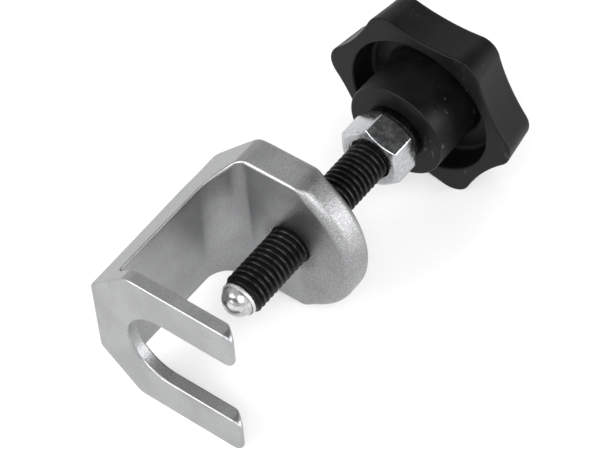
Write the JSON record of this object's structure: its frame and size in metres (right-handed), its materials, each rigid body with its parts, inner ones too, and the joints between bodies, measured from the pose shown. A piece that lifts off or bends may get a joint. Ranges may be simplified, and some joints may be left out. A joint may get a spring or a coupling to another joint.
{
  "type": "ball joint separator",
  "caption": "Hand-turned ball joint separator: forged C-frame with a slotted fork at one end and a threaded lug at the other, ball-tipped pressure spindle, lock nut and lobed knob.",
  "frame": {"origin": "on the spindle's axis, in the plane of the fork's outer face, in the middle of the slot", "axes": "+X along the spindle from the fork towards the knob; +Y from the spindle towards the frame's spine, so the jaw opens towards -Y; +Z across the frame's width"},
  "size_m": [0.1, 0.05, 0.0462],
  "materials": {
    "frame_steel": "forged alloy steel, shot blasted and satin nickel plated",
    "ball_steel": "hardened bearing steel, polished",
    "black_oxide_steel": "hardened steel, black oxide, lightly oiled",
    "zinc_plated_steel": "bright zinc plated steel",
    "insert_steel": "turned steel, darkened",
    "knob_plastic": "moulded thermoplastic, satin black with a fine texture"
  },
  "bodies": {
    "frame": {"jaw_frame": "frame_steel"},
    "thrust": {"thrust_ball": "ball_steel"},
    "screw": {"spindle": "black_oxide_steel", "lock_nut": "zinc_plated_steel", "knob_insert": "insert_steel", "star_knob": "knob_plastic"}
  },
  "joints": [
    {"name": "spindle_feed", "type": "slide", "parent": "frame", "child": "thrust", "axis": [1, 0, 0], "range_m": [-0.0213, 0.0218]},
    {"name": "spindle_turn", "type": "hinge", "parent": "thrust", "child": "screw", "pos_m": [0, 0, 0], "axis": [1, 0, 0], "range_deg": [-5100, 5220]}
  ],
  "couplings": [
    {"joint": "spindle_feed", "follows": "spindle_turn", "m_per_rad": 0.00023873}
  ]
}
